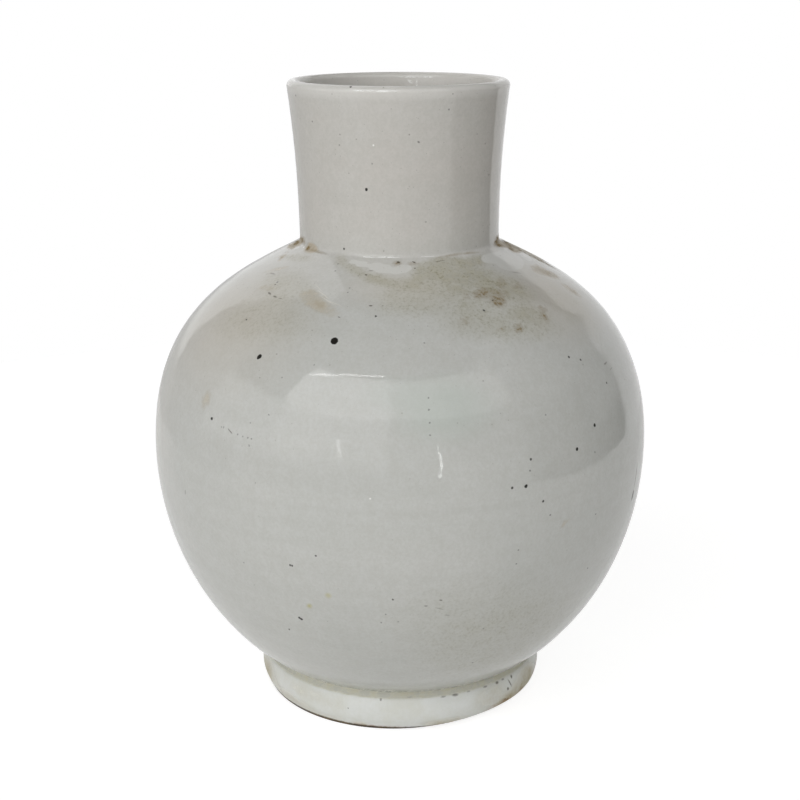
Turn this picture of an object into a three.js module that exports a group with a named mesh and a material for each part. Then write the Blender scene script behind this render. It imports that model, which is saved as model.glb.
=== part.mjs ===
// A globular porcelain pot with a tall wide neck and a foot ring, in millimetres, with +Z up.
// The origin is the centre of the foot ring's resting face, and the pot's axis is Z. -Y is the front.
// Such a pot is thrown in sections, which are cut level, luted together with slip and then glazed as one.
// Each section is a solid of its own here: a bowl, a shoulder, a neck and a foot ring. A band of slip is
// pressed over the inside of each of the two seams that a hand can reach from within.
import * as THREE from "three";

// The body's outer form. It is widest at the seam between the bowl and the shoulder.
const belly_radius = 132.3;
const belly_height = 140;
const belly_rise = 76; // how far the shoulder keeps the belly's upright direction
const shoulder_run = 27; // how far the shoulder keeps the slope that it has at the neck
const shoulder_slope = 29; // degrees from level, at the neck
const bowl_run = 27; // how far the bowl keeps the slope that it has at the foot
const bowl_slope = 26.5; // degrees from level, at the foot
const body_height = 247; // up to the corner between shoulder and neck
const body_wall = 7;
const base_wall = 10; // the bowl's wall at the foot

// The neck, which flares a little to a round lip
const neck_radius = 52.7;
const neck_height = 83; // from that corner to the top of the lip
const neck_wall = 6;
const neck_cove = 3; // the hollow turned into the corner between shoulder and neck
const rim_radius = 57.7;
const lip_thickness = 6.2;

// The foot ring, and the bowl's floor above it
const foot_radius = 76.4; // outside, at the ring's top edge
const foot_base_radius = 74.5; // outside, at the resting face
const foot_swell = 2.7; // how far its wall swells out between them
const foot_height = 18.6;
const foot_ledge = 3.8; // how far the ring's top edge stands out past the bowl
const foot_groove = 1.7; // how far the bowl rises straight from that ledge
const foot_edge = 0.8; // bevel of the top edge
const foot_bevel = 0.4; // bevel of the bottom edge
const foot_rest = 7.2; // width of the resting face
const boss_radius = 62; // the turned boss of the floor, which the ring fits over
const recess_depth = 12; // from the resting face up to the floor's underside
const recess_dish = 1.5; // how much the underside rises towards its middle
const floor_thickness = 10; // at the edge of the boss
const floor_blend = 14; // height over which the bowl's inside turns into the floor

// The bottom edge is worn and chipped back on the front right
const wear_width = 4.5;
const wear_height = 3.5;
const wear_angle = 58; // degrees from the front, towards +X
const wear_sharpness = 6; // the higher, the shorter the worn stretch

// The luting
const slip_gap = 0.3; // the film of slip between faces that aren't level
const belly_band_height = 16;
const belly_band_thickness = 2;
const neck_band_height = 10;
const neck_band_thickness = 1.5;

// Facets
const around = 64;
const steps_along_wall = 14;
const steps_along_floor = 6;
const steps_along_neck = 7;
const steps_round_lip = 6;
const steps_round_cove = 3;
const steps_along_foot = 4;

const point = (radius, height) => new THREE.Vector2(radius, height);
const radians = THREE.MathUtils.degToRad;

// A step of a length in a direction given in degrees from level: outwards, and up where it is positive.
function step(length, degrees) {
  return point(length * Math.cos(radians(degrees)), length * Math.sin(radians(degrees)));
}

// The shoulder's outer curve, from the belly up to the cove under the neck.
const belly = point(belly_radius, belly_height);
const corner = point(neck_radius, body_height);
const shoulder_end = corner.clone().add(step(neck_cove, -shoulder_slope));
const shoulder_hold = shoulder_end.clone().add(step(shoulder_run, -shoulder_slope));
const shoulder = new THREE.CubicBezierCurve(
  belly,
  belly.clone().add(point(0, belly_rise)),
  shoulder_hold,
  shoulder_end,
);

// The bowl's outer curve, from the foot up to the belly. Its upper handle gives it the shoulder's
// curvature where the two meet, so that no line shows there.
const bowl_start = point(foot_radius - foot_ledge, foot_height + foot_groove);
const bowl_hold = bowl_start.clone().add(step(bowl_run, bowl_slope));
const bowl_rise = belly_rise * Math.sqrt((belly_radius - bowl_hold.x) / (belly_radius - shoulder_hold.x));
const bowl = new THREE.CubicBezierCurve(bowl_start, bowl_hold, belly.clone().sub(point(0, bowl_rise)), belly);

// The inside of a wall along an outer curve that is drawn upwards, with the wall's thickness at both ends.
function insideOf(curve, first_wall, last_wall) {
  return Array.from({ length: steps_along_wall + 1 }, (_, i) => {
    const share = i / steps_along_wall;
    const along = curve.getTangentAt(share);
    const inwards = point(-along.y, along.x);
    return curve.getPointAt(share).addScaledVector(inwards, THREE.MathUtils.lerp(first_wall, last_wall, share));
  });
}

// Both end at the belly on the seam, which is cut level.
const belly_inside = point(belly_radius - body_wall, belly_height);
const bowl_inside = [...insideOf(bowl, base_wall, body_wall).slice(0, -1), belly_inside];
const shoulder_inside = [belly_inside, ...insideOf(shoulder, body_wall, body_wall).slice(1)];

// The radius at a height, on a line of points that rise.
function radiusAt(points, height) {
  const next = points.findIndex((p) => p.y >= height);
  const [low, high] = [points[next - 1], points[next]];
  return THREE.MathUtils.mapLinear(height, low.y, high.y, low.x, high.x);
}

// Turns a closed outline of radii and heights about the Z axis.
function turned(outline) {
  return new THREE.LatheGeometry(outline, around).rotateX(Math.PI / 2);
}

// The bowl: its floor's underside, the boss, the outer wall, the inner wall and the floor's top.
function bowlOutline() {
  const floor_top = recess_depth + floor_thickness;
  const wall = bowl_inside.filter((p) => p.y > floor_top + floor_blend);
  const [low, next] = wall;
  const slope = (next.y - low.y) / (next.x - low.x);
  const turn = point(low.x - (low.y - floor_top) / slope, floor_top);
  const floor = new THREE.QuadraticBezierCurve(low, turn, point(0, floor_top));
  return [
    point(0, recess_depth + recess_dish),
    point(boss_radius / 2, recess_depth + recess_dish * 0.75),
    point(boss_radius, recess_depth),
    point(boss_radius, foot_height),
    point(bowl_start.x, foot_height),
    ...bowl.getSpacedPoints(steps_along_wall),
    ...wall.reverse(),
    ...floor.getPoints(steps_along_floor).slice(1),
  ];
}

// The shoulder, with a short collar whose level top is the neck's seat.
const neck_bore = neck_radius - neck_wall;
const seat_height = body_height + neck_cove;

function shoulderOutline() {
  const cove = new THREE.QuadraticBezierCurve(shoulder_end, corner, point(neck_radius, seat_height));
  const wall = shoulder_inside.filter((p) => p.x > neck_bore);
  const last = wall[wall.length - 1];
  const bore_bottom = last.y + (last.x - neck_bore) * Math.tan(radians(shoulder_slope));
  return [
    ...shoulder.getSpacedPoints(steps_along_wall),
    ...cove.getPoints(steps_round_cove).slice(1),
    point(neck_bore, seat_height),
    point(neck_bore, bore_bottom),
    ...wall.reverse(),
    belly,
  ];
}

// The neck, with its round lip.
function neckOutline() {
  const lip_radius = lip_thickness / 2;
  const lip_height = body_height + neck_height - lip_radius;
  const half_way = (seat_height + lip_height) / 2;
  const flare = (foot, rim) => {
    const ends = [point(foot, seat_height), point(foot, half_way), point(rim, lip_height)];
    return new THREE.QuadraticBezierCurve(...ends).getPoints(steps_along_neck);
  };
  const lip = new THREE.EllipseCurve(rim_radius - lip_radius, lip_height, lip_radius, lip_radius, 0, Math.PI);
  const outer = flare(neck_radius, rim_radius);
  const inner = flare(neck_bore, rim_radius - lip_thickness);
  return [...outer, ...lip.getPoints(steps_round_lip).slice(1), ...inner.reverse().slice(1), outer[0]];
}

// The foot ring, cut back at the bottom edge by a width and a height.
function footOutline(width, height) {
  const wall = Array.from({ length: steps_along_foot + 1 }, (_, i) => {
    const level = THREE.MathUtils.lerp(height, foot_height - foot_edge, i / steps_along_foot);
    const share = level / foot_height;
    const swell = 4 * foot_swell * share * (1 - share);
    return point(THREE.MathUtils.lerp(foot_base_radius, foot_radius, share) + swell, level);
  });
  const bore = boss_radius + slip_gap;
  return [
    point(bore, foot_height),
    point(bore, recess_depth),
    point(foot_base_radius - foot_bevel - foot_rest, 0),
    point(foot_base_radius - width, 0),
    ...wall,
    point(foot_radius - foot_edge, foot_height),
    point(bore, foot_height),
  ];
}

// It is turned, and then worn: each of its sections gets the outline for its own place round the ring.
function footGeometry() {
  const geometry = new THREE.LatheGeometry(footOutline(foot_bevel, foot_bevel), around);
  const position = geometry.getAttribute("position");
  for (let section = 0; section <= around; section++) {
    const angle = (section / around) * 2 * Math.PI;
    const wear = ((1 + Math.cos(angle - radians(wear_angle))) / 2) ** wear_sharpness;
    const outline = footOutline(foot_bevel + wear_width * wear, foot_bevel + wear_height * wear);
    outline.forEach((p, i) => {
      position.setXYZ(section * outline.length + i, p.x * Math.sin(angle), p.y, p.x * Math.cos(angle));
    });
  }
  return geometry.rotateX(Math.PI / 2);
}

// A band of slip over a seam. It lies against a wall whose radius is given by height, and thins to its edges.
function bandOutline(seam, height, thickness, wall_radius) {
  const [low, middle, high] = [-0.5, 0, 0.5].map((share) => {
    const level = seam + share * height;
    return point(wall_radius(level) - slip_gap, level);
  });
  const edge = thickness / 4;
  return [
    low,
    middle,
    high,
    point(high.x - edge, high.y),
    point(middle.x - thickness, middle.y + height / 6),
    point(middle.x - thickness, middle.y - height / 6),
    point(low.x - edge, low.y),
    low,
  ];
}

function bellyBandOutline() {
  const wall = [...bowl_inside, ...shoulder_inside.slice(1)];
  return bandOutline(belly_height, belly_band_height, belly_band_thickness, (level) => radiusAt(wall, level));
}

function neckBandOutline() {
  return bandOutline(seat_height, neck_band_height, neck_band_thickness, () => neck_bore);
}

// Materials
const glaze = new THREE.MeshStandardMaterial({ color: "#c3c4be", roughness: 0.12, metalness: 0 });
const foot_glaze = new THREE.MeshStandardMaterial({ color: "#cfd1cc", roughness: 0.2, metalness: 0 });
const slip = new THREE.MeshStandardMaterial({ color: "#d3cfc4", roughness: 0.5, metalness: 0 });

function piece(name, geometry, material) {
  const mesh = new THREE.Mesh(geometry, material);
  mesh.name = name;
  return mesh;
}

const pot = new THREE.Group();
pot.add(
  piece("foot_ring", footGeometry(), foot_glaze),
  piece("lower_body", turned(bowlOutline()), glaze),
  piece("upper_body", turned(shoulderOutline()), glaze),
  piece("neck", turned(neckOutline()), glaze),
  piece("belly_seam_band", turned(bellyBandOutline()), slip),
  piece("neck_seam_band", turned(neckBandOutline()), slip),
);

export default pot;
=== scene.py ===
import math
from collections import namedtuple

import bpy
import numpy as np
from mathutils import Matrix, Vector


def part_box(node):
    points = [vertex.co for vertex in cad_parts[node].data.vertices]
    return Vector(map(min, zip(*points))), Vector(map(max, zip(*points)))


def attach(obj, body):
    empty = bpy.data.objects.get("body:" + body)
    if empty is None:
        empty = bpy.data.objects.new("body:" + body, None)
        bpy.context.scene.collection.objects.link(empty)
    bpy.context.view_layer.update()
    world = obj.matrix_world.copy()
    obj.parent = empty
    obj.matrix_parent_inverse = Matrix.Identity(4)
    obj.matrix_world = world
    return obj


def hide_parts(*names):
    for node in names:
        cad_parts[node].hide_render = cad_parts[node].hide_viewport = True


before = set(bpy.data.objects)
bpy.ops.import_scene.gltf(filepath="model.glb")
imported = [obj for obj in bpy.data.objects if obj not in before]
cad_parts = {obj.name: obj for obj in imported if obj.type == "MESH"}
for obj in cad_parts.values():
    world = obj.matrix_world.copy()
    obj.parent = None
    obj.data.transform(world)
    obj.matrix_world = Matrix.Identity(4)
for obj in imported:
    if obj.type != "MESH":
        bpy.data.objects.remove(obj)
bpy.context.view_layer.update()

MM = 0.001
BODY = "root"


# Sizes that the frame gives

def top(node):
    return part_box(node)[1]


def bottom(node):
    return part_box(node)[0]


BELLY_RADIUS = top("lower_body").x
BELLY_HEIGHT = top("lower_body").z
BOSS_BOTTOM = bottom("lower_body").z
SEAT_HEIGHT = bottom("neck").z
RIM_RADIUS = top("neck").x
RIM_HEIGHT = top("neck").z
FOOT_HEIGHT = top("foot_ring").z

# Sizes that the frame doesn't give by itself. They are the construction's own, apart from the foot's swell
# and edge, which are a little smaller, so that the rounded skin stays inside it.
BELLY_RISE = 76 * MM
SHOULDER_RUN = 27 * MM
SHOULDER_SLOPE = math.radians(29)
BOWL_RUN = 27 * MM
BOWL_SLOPE = math.radians(26.5)
BODY_WALL = 7 * MM
BASE_WALL = 10 * MM
NECK_RADIUS = 52.7 * MM
NECK_WALL = 6 * MM
NECK_COVE = 3 * MM
LIP_THICKNESS = 6.2 * MM
FOOT_RADIUS = 76.4 * MM
FOOT_BASE_RADIUS = 74.5 * MM
FOOT_SWELL = 2.6 * MM
FOOT_LEDGE = 3.8 * MM
FOOT_GROOVE = 1.7 * MM
FOOT_EDGE = 0.5 * MM
FOOT_BEVEL = 0.4 * MM
FOOT_REST = 7.2 * MM
BOSS_RADIUS = 62 * MM
RECESS_DISH = 1.5 * MM
FLOOR_THICKNESS = 10 * MM
FLOOR_BLEND = 14 * MM
WEAR_WIDTH = 4.5 * MM
WEAR_HEIGHT = 3.5 * MM
WEAR_ANGLE = math.radians(58)
WEAR_SHARPNESS = 6
SLIP_GAP = 0.3 * MM
BELLY_BAND_HEIGHT = 16 * MM
BELLY_BAND_THICKNESS = 2 * MM
NECK_BAND_HEIGHT = 10 * MM
NECK_BAND_THICKNESS = 1.5 * MM
BAND_EDGE = 0.15         # of its thickness a band keeps at its edges

# Sizes of what only the skin shows
COVE_FILL = 1.6 * MM     # how far the pooled glaze fills the corner under the neck
LEDGE_BARE = 0.9 * MM    # how much of the foot's ledge the glaze pooled in the groove leaves free
INNER_EDGE = 3 * MM      # how far the edge under the bore is rounded off
FOOT_ROUNDING = 0.5 * MM  # how far the foot ring's edges are rounded off
BURR = 0.9 * MM          # grit that has burnt on round the bottom edge, most at the front left
BURR_HEIGHT = 3.5 * MM
BURR_ANGLE = math.radians(-24)
BURR_SHARPNESS = 8

# How fine the skin is
COLUMNS = 256            # round the pot
CURVE_POINTS = 240       # along a curve, before it gets its even steps
ROUNDING_POINTS = 10     # along a rounded edge
FOOT_POINTS = 12         # up the foot's wall
BAND_POINTS = 17         # across a band of slip
OUTER_STEP = 2 * MM
FINE_STEP = 0.45 * MM
INNER_STEP = 4 * MM
HIDDEN_STEP = 3 * MM
FOOT_STEP = 0.7 * MM
TOUCHING = 0.001 * MM    # points that are nearer than this are one


# Lines of radius and height

def point(radius, height):
    return np.array([radius, height])


def step(length, slope):
    return point(length * math.cos(slope), length * math.sin(slope))


def curve(*held):
    """A smooth line from the first point to the last, drawn towards those between."""
    degree = len(held) - 1
    t = np.linspace(0, 1, CURVE_POINTS)[:, None]
    return sum(math.comb(degree, i) * (1 - t) ** (degree - i) * t ** i * p for i, p in enumerate(held))


def lengths_along(line):
    """How far along a line each of its points is."""
    return np.concatenate([[0], np.cumsum(np.linalg.norm(np.diff(line, axis=0), axis=1))])


def resampled(line, count):
    """The same line with that many points, at even steps."""
    along = lengths_along(line)
    wanted = np.linspace(0, along[-1], count)
    return np.stack([np.interp(wanted, along, line[:, k]) for k in (0, 1)], axis=1)


def even(line, spacing):
    """The same line with its points at even steps of about that length."""
    line = np.asarray(line, float)
    return resampled(line, max(2, round(lengths_along(line)[-1] / spacing) + 1))


def rounded(corners, radii, spacing):
    """A line through corners, each but the ends rounded off by its radius, with even steps."""
    line = [corners[0]]
    for before, corner, after, radius in zip(corners, corners[1:], corners[2:], radii):
        if radius == 0:
            line.append(corner)
            continue
        start = corner + (before - corner) * min(1, radius / np.linalg.norm(before - corner))
        end = corner + (after - corner) * min(1, radius / np.linalg.norm(after - corner))
        line.extend(curve(start, corner, end)[::CURVE_POINTS // ROUNDING_POINTS])
        line.append(end)
    line.append(corners[-1])
    return even(line, spacing)


def inside_of(line, first_wall, last_wall):
    """The inside of a wall whose outer line is drawn upwards."""
    along = np.gradient(line, axis=0)
    along /= np.linalg.norm(along, axis=1)[:, None]
    inwards = np.stack([-along[:, 1], along[:, 0]], axis=1)
    wall = np.linspace(first_wall, last_wall, len(line))[:, None]
    return line + inwards * wall


belly = point(BELLY_RADIUS, BELLY_HEIGHT)
belly_inside = belly - point(BODY_WALL, 0)
seat = point(NECK_RADIUS, SEAT_HEIGHT)
corner = seat - point(0, NECK_COVE)
neck_bore = NECK_RADIUS - NECK_WALL
shoulder_end = corner + step(NECK_COVE, -SHOULDER_SLOPE)
shoulder_hold = shoulder_end + step(SHOULDER_RUN, -SHOULDER_SLOPE)
bowl_edge = point(FOOT_RADIUS - LEDGE_BARE, FOOT_HEIGHT)
bowl_start = point(FOOT_RADIUS - FOOT_LEDGE, FOOT_HEIGHT + FOOT_GROOVE)
bowl_hold = bowl_start + step(BOWL_RUN, BOWL_SLOPE)
bowl_rise = BELLY_RISE * math.sqrt((BELLY_RADIUS - bowl_hold[0]) / (BELLY_RADIUS - shoulder_hold[0]))

bowl_curve = curve(bowl_start, bowl_hold, belly - point(0, bowl_rise), belly)
shoulder_curve = curve(belly, belly + point(0, BELLY_RISE), shoulder_hold, shoulder_end)


def bowl_line():
    """The bowl's outside, from the foot's ledge up to the belly, with glaze pooled in the groove there."""
    pooled = curve(bowl_edge, bowl_start + point(0.9 * MM, -0.7 * MM), bowl_start + point(0, 0.1 * MM))
    turn = curve(pooled[-1], bowl_start - point(0.2 * MM, -0.3 * MM), bowl_start + step(1.2 * MM, BOWL_SLOPE))
    rest = bowl_curve[bowl_curve[:, 0] > turn[-1][0] + FINE_STEP]
    groove = even(np.vstack([pooled, turn[1:]]), FINE_STEP)
    return np.vstack([groove, even(np.vstack([turn[-1], rest]), OUTER_STEP)[1:]])


def shoulder_line():
    """The shoulder's outside, from the belly up through the cove to the neck's seat."""
    cove = rounded([shoulder_end, corner, seat], [COVE_FILL], FINE_STEP)
    return np.vstack([even(shoulder_curve, OUTER_STEP), cove[1:]])


def neck_line():
    """The neck's outside, its lip and its inside, down to the seat."""
    lip_radius = LIP_THICKNESS / 2
    lip_height = RIM_HEIGHT - lip_radius
    half_way = (SEAT_HEIGHT + lip_height) / 2
    turn = np.linspace(0, math.pi, 40)[:, None]
    middle = point(RIM_RADIUS - lip_radius, lip_height)
    lip = middle + lip_radius * np.hstack([np.cos(turn), np.sin(turn)])
    outside = curve(seat, point(NECK_RADIUS, half_way), lip[0])
    inside = curve(lip[-1], point(neck_bore, half_way), point(neck_bore, SEAT_HEIGHT))
    return np.vstack([even(outside, OUTER_STEP), even(lip, FINE_STEP)[1:], even(inside, OUTER_STEP)[1:]])


def shoulder_inside_line():
    """The bore below the seat and the shoulder's inside, down to the belly."""
    wall = inside_of(shoulder_curve, BODY_WALL, BODY_WALL)[1:]
    wall = np.vstack([belly_inside, wall[wall[:, 0] > neck_bore]])
    bore_end = point(neck_bore, wall[-1][1] + (wall[-1][0] - neck_bore) * math.tan(SHOULDER_SLOPE))
    low = point(neck_bore, SEAT_HEIGHT)
    edge = rounded([low, bore_end, wall[-6]], [INNER_EDGE], FINE_STEP)
    return np.vstack([edge, even(wall[-7::-1], INNER_STEP)])


def bowl_inside_line():
    """The bowl's inside, from the belly down to the middle of the floor."""
    floor_top = BOSS_BOTTOM + FLOOR_THICKNESS
    wall = inside_of(bowl_curve, BASE_WALL, BODY_WALL)[:-1]
    wall = np.vstack([wall[wall[:, 1] > floor_top + FLOOR_BLEND], belly_inside])
    low, after = wall[0], wall[1]
    slope = (after[1] - low[1]) / (after[0] - low[0])
    turn = point(low[0] - (low[1] - floor_top) / slope, floor_top)
    floor = curve(low, turn, point(0, floor_top))
    return np.vstack([even(wall[::-1], INNER_STEP), even(floor, INNER_STEP)[1:]])


def soft_step(low, high, value):
    """Goes smoothly from 0 to 1 as the value goes from low to high."""
    share = np.clip((value - low) / (high - low), 0, 1)
    return share * share * (3 - 2 * share)


def foot_line(angle):
    """The foot ring's section at an angle: its swelling wall, its rounded edges, its worn base."""
    wear = ((1 + math.cos(angle - WEAR_ANGLE)) / 2) ** WEAR_SHARPNESS
    low = FOOT_BEVEL + WEAR_HEIGHT * wear
    share = np.linspace(low, FOOT_HEIGHT - FOOT_EDGE, FOOT_POINTS) / FOOT_HEIGHT
    swell = 4 * FOOT_SWELL * share * (1 - share)
    radius = FOOT_BASE_RADIUS + (FOOT_RADIUS - FOOT_BASE_RADIUS) * share + swell
    burr = BURR * ((1 + math.cos(angle - BURR_ANGLE)) / 2) ** BURR_SHARPNESS
    radius += burr * (1 - soft_step(0, BURR_HEIGHT, share * FOOT_HEIGHT))
    bore = BOSS_RADIUS + SLIP_GAP
    start = point(bore, FOOT_HEIGHT)
    base = [
        start,
        point(bore, BOSS_BOTTOM),
        point(FOOT_BASE_RADIUS - FOOT_BEVEL - FOOT_REST, 0),
        point(FOOT_BASE_RADIUS - FOOT_BEVEL - WEAR_WIDTH * wear + burr, 0),
    ]
    wall = [point(r, h) for r, h in zip(radius, share * FOOT_HEIGHT)]
    corners = [*base, *wall, point(FOOT_RADIUS - FOOT_EDGE, FOOT_HEIGHT), start]
    edge = FOOT_ROUNDING
    radii = [edge, edge, edge, edge, *[0] * (FOOT_POINTS - 2), edge, edge]
    return rounded(corners, radii, FOOT_STEP)


# The thrown wall's unevenness

ANGLES = np.linspace(0, 2 * math.pi, COLUMNS, endpoint=False)
NECK_LEAN = 0.35 * MM     # how far the neck leans to the left on its way to the rim
LEAN_BELOW = 20 * MM      # it starts this far below the seat, and would end this far above the rim
LEAN_ABOVE = 40 * MM
LUMPS = (                 # depth, waves round the pot, height of one wave, phase
    (0.22 * MM, 2, 900 * MM, 0.6),
    (0.12 * MM, 3, 160 * MM, 2.1),
    (0.08 * MM, 5, 90 * MM, 4.4),
    (0.05 * MM, 7, 61 * MM, 1.3),
    (0.04 * MM, 11, 43 * MM, 5.2),
)
RING_DEPTH = 0.07 * MM    # the spiral that the potter's fingers leave
RING_PITCH = 8.5 * MM
RING_SWING = 70 * MM      # over this height it fades and comes back
TRUE_CENTRE = 40 * MM     # within this radius the floor is less uneven
SHIFT_STARTS = (20 * MM, 45 * MM)     # between these heights the body's points begin to move up or down too,
SHIFT_ENDS = (230 * MM, 250 * MM)     # and between these they stop, so that the foot and the seat stay level


def relief(angle, height):
    """How far in the wall lies from a true turned one."""
    wave = 2 * math.pi * height
    lumps = sum(d * (1 + np.cos(n * angle + wave / tall + phase)) / 2 for d, n, tall, phase in LUMPS)
    fading = 0.6 + 0.4 * np.cos(wave / RING_SWING + angle)
    return lumps + RING_DEPTH * fading * (1 + np.sin(wave / RING_PITCH + angle)) / 2


def placed(line):
    """Where the points of a line stand when it is turned about Z, one column of points for each angle."""
    if line.ndim == 2:
        line = np.repeat(line[:, None], COLUMNS, axis=1)
    radius, height = line[..., 0], line[..., 1]
    inwards = relief(ANGLES, height) * np.clip(radius / TRUE_CENTRE, 0, 1)
    moving = soft_step(*SHIFT_STARTS, height) * (1 - soft_step(*SHIFT_ENDS, height))
    out = radius - inwards
    up = height - inwards * moving * (height - BELLY_HEIGHT) / BELLY_HEIGHT
    lean = NECK_LEAN * soft_step(SEAT_HEIGHT - LEAN_BELOW, RIM_HEIGHT + LEAN_ABOVE, height)
    return np.stack([out * np.sin(ANGLES) - lean, -out * np.cos(ANGLES), up], axis=-1)


Sheet = namedtuple("Sheet", "points normals")


def sheet(line, round_closed=False, axis_faces=1):
    """The surface that a line makes, and its normals. Its outer side is on the right of the line's way.
    A point on the axis faces straight up, or down where axis_faces is -1."""
    points = placed(line)
    around = (np.roll(points, -1, axis=1) - np.roll(points, 1, axis=1)) / 2
    if round_closed:
        ring = np.concatenate([points[-2:-1], points, points[1:2]])
        along = (ring[2:] - ring[:-2]) / 2
    else:
        along = np.gradient(points, axis=0)
    normals = np.cross(around, along)
    on_axis = np.linalg.norm(points[..., :2], axis=-1) < TOUCHING
    normals[on_axis] = (0, 0, axis_faces)
    return Sheet(points, normals / np.linalg.norm(normals, axis=-1, keepdims=True))


def joined(sheets):
    """The points of sheets that follow each other round a section, and each sheet's rows of point numbers."""
    vertices, numbered = [], []

    def ring(points):
        start = len(vertices)
        if np.linalg.norm(points[0] - points[COLUMNS // 2]) < TOUCHING:
            vertices.append(points[0])
            return np.full(COLUMNS, start)
        vertices.extend(points)
        return np.arange(start, start + COLUMNS)

    first = last = ring(sheets[0].points[0])
    for part in sheets:
        rows = [last, *(ring(row) for row in part.points[1:-1])]
        closing = part is sheets[-1] and np.allclose(part.points[-1], sheets[0].points[0], atol=TOUCHING)
        rows.append(first if closing else ring(part.points[-1]))
        numbered.append(rows)
        last = rows[-1]
    return vertices, numbered


def faces_of(part, rows):
    """The faces between a sheet's rows, each as its point numbers and its corners' normals."""
    for i in range(len(rows) - 1):
        for j in range(COLUMNS):
            k = (j + 1) % COLUMNS
            corners = [(i, j), (i, k), (i + 1, k), (i + 1, j)]
            if rows[i][j] == rows[i][k]:
                corners.pop(1)
            elif rows[i + 1][j] == rows[i + 1][k]:
                corners.pop(2)
            yield [int(rows[a][b]) for a, b in corners], [part.normals[a, b] for a, b in corners]


def piece(name, sheets, materials, replaced):
    """A closed mesh from sheets that follow each other round a section, each with its own material."""
    vertices, numbered = joined(sheets)
    faces, normals, slots = [], [], []
    for number, (part, rows) in enumerate(zip(sheets, numbered)):
        for corners, facing in faces_of(part, rows):
            faces.append(corners)
            normals.extend(facing)
            slots.append(number)
    mesh = bpy.data.meshes.new(name)
    mesh.from_pydata([tuple(v) for v in vertices], [], faces)
    for material in materials:
        mesh.materials.append(material)
    mesh.polygons.foreach_set("material_index", slots)
    mesh.polygons.foreach_set("use_smooth", [True] * len(faces))
    mesh.normals_split_custom_set([tuple(n) for n in normals])
    mesh.update()
    keep_stains(mesh)
    made = bpy.data.objects.new(name, mesh)
    bpy.context.scene.collection.objects.link(made)
    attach(made, BODY)
    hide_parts(replaced)


# Materials. Places in them are in millimetres, in the pot's own frame.

def srgb(red, green, blue):
    """A colour given as a screen shows it, from 0 to 255."""
    def linear(value):
        value /= 255
        return value / 12.92 if value <= 0.04045 else ((value + 0.055) / 1.055) ** 2.4
    return (linear(red), linear(green), linear(blue), 1.0)


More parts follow.
